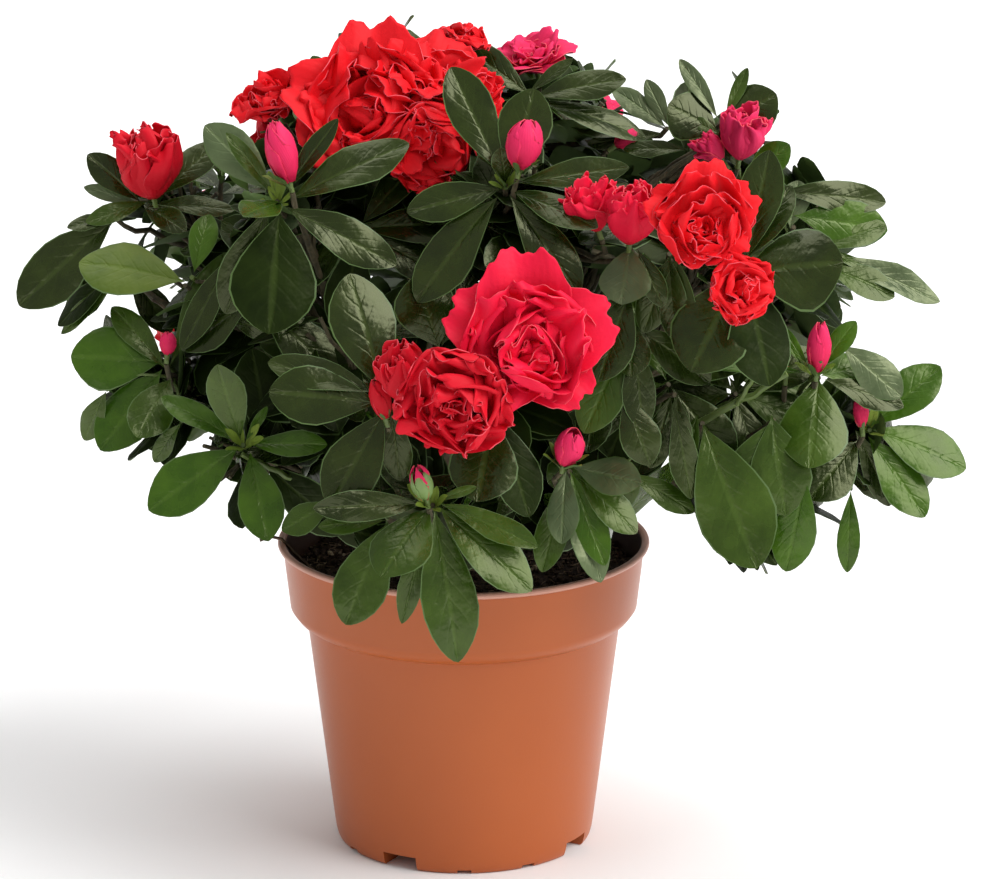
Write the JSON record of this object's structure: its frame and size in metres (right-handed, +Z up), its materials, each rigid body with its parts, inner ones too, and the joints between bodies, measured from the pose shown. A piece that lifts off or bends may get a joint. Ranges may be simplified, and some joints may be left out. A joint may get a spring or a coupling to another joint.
{
  "type": "potted azalea shrub",
  "caption": "Flowering evergreen shrub in a round nursery pot: short stem, radiating boughs and a wide crown of foliage masses.",
  "frame": {"origin": "centre of the pot's flat underside, where the pot stands", "axes": "+Z up, +X along the crown's widest spread, -Y towards the flowered front"},
  "size_m": [0.3043, 0.2495, 0.2753],
  "materials": {
    "pot_plastic": "satin moulded plastic, terracotta outside and dark brown inside",
    "potting_soil": "moist fibrous peat",
    "bark": "thin brown bark, greener on young shoots",
    "foliage": "dark green semi-gloss leaves with red double flowers"
  },
  "bodies": {
    "root": {"pot": "pot_plastic", "soil": "potting_soil", "trunk": "bark", "bough_top": "bark", "bough_left_mid": "bark", "bough_left_low": "bark", "bough_left_foot": "bark", "bough_front_left": "bark", "bough_front_centre": "bark", "bough_right_inner": "bark", "bough_right_far": "bark", "bough_right_branch": "bark", "bough_back_left": "bark", "bough_back_centre": "bark", "bough_back_right": "bark", "bough_top_right": "bark", "bough_upper_centre": "bark", "bough_upper_left": "bark", "bough_left_high": "bark", "bough_left_far": "bark", "bough_front_low": "bark", "bough_front_right_low": "bark", "bough_right_front": "bark", "bough_right_top": "bark", "bough_right_low": "bark", "bough_back_left_top": "bark", "bough_back_right_top": "bark", "bough_back_right_far": "bark", "bough_back_left_low": "bark", "bough_back_centre_low": "bark", "bough_back_right_low": "bark", "foliage_top": "foliage", "foliage_top_right": "foliage", "foliage_upper_centre": "foliage", "foliage_upper_left": "foliage", "foliage_left_mid": "foliage", "foliage_left_high": "foliage", "foliage_left_far": "foliage", "foliage_left_low": "foliage", "foliage_left_foot": "foliage", "foliage_front_left": "foliage", "foliage_front_centre": "foliage", "foliage_front_low": "foliage", "foliage_front_right_low": "foliage", "foliage_right_inner": "foliage", "foliage_right_front": "foliage", "foliage_right_top": "foliage", "foliage_right_far": "foliage", "foliage_right_branch": "foliage", "foliage_right_low": "foliage", "foliage_back_left_top": "foliage", "foliage_back_right_top": "foliage", "foliage_back_left": "foliage", "foliage_back_centre": "foliage", "foliage_back_right": "foliage", "foliage_back_right_far": "foliage", "foliage_back_left_low": "foliage", "foliage_back_centre_low": "foliage", "foliage_back_right_low": "foliage"}
  },
  "joints": []
}
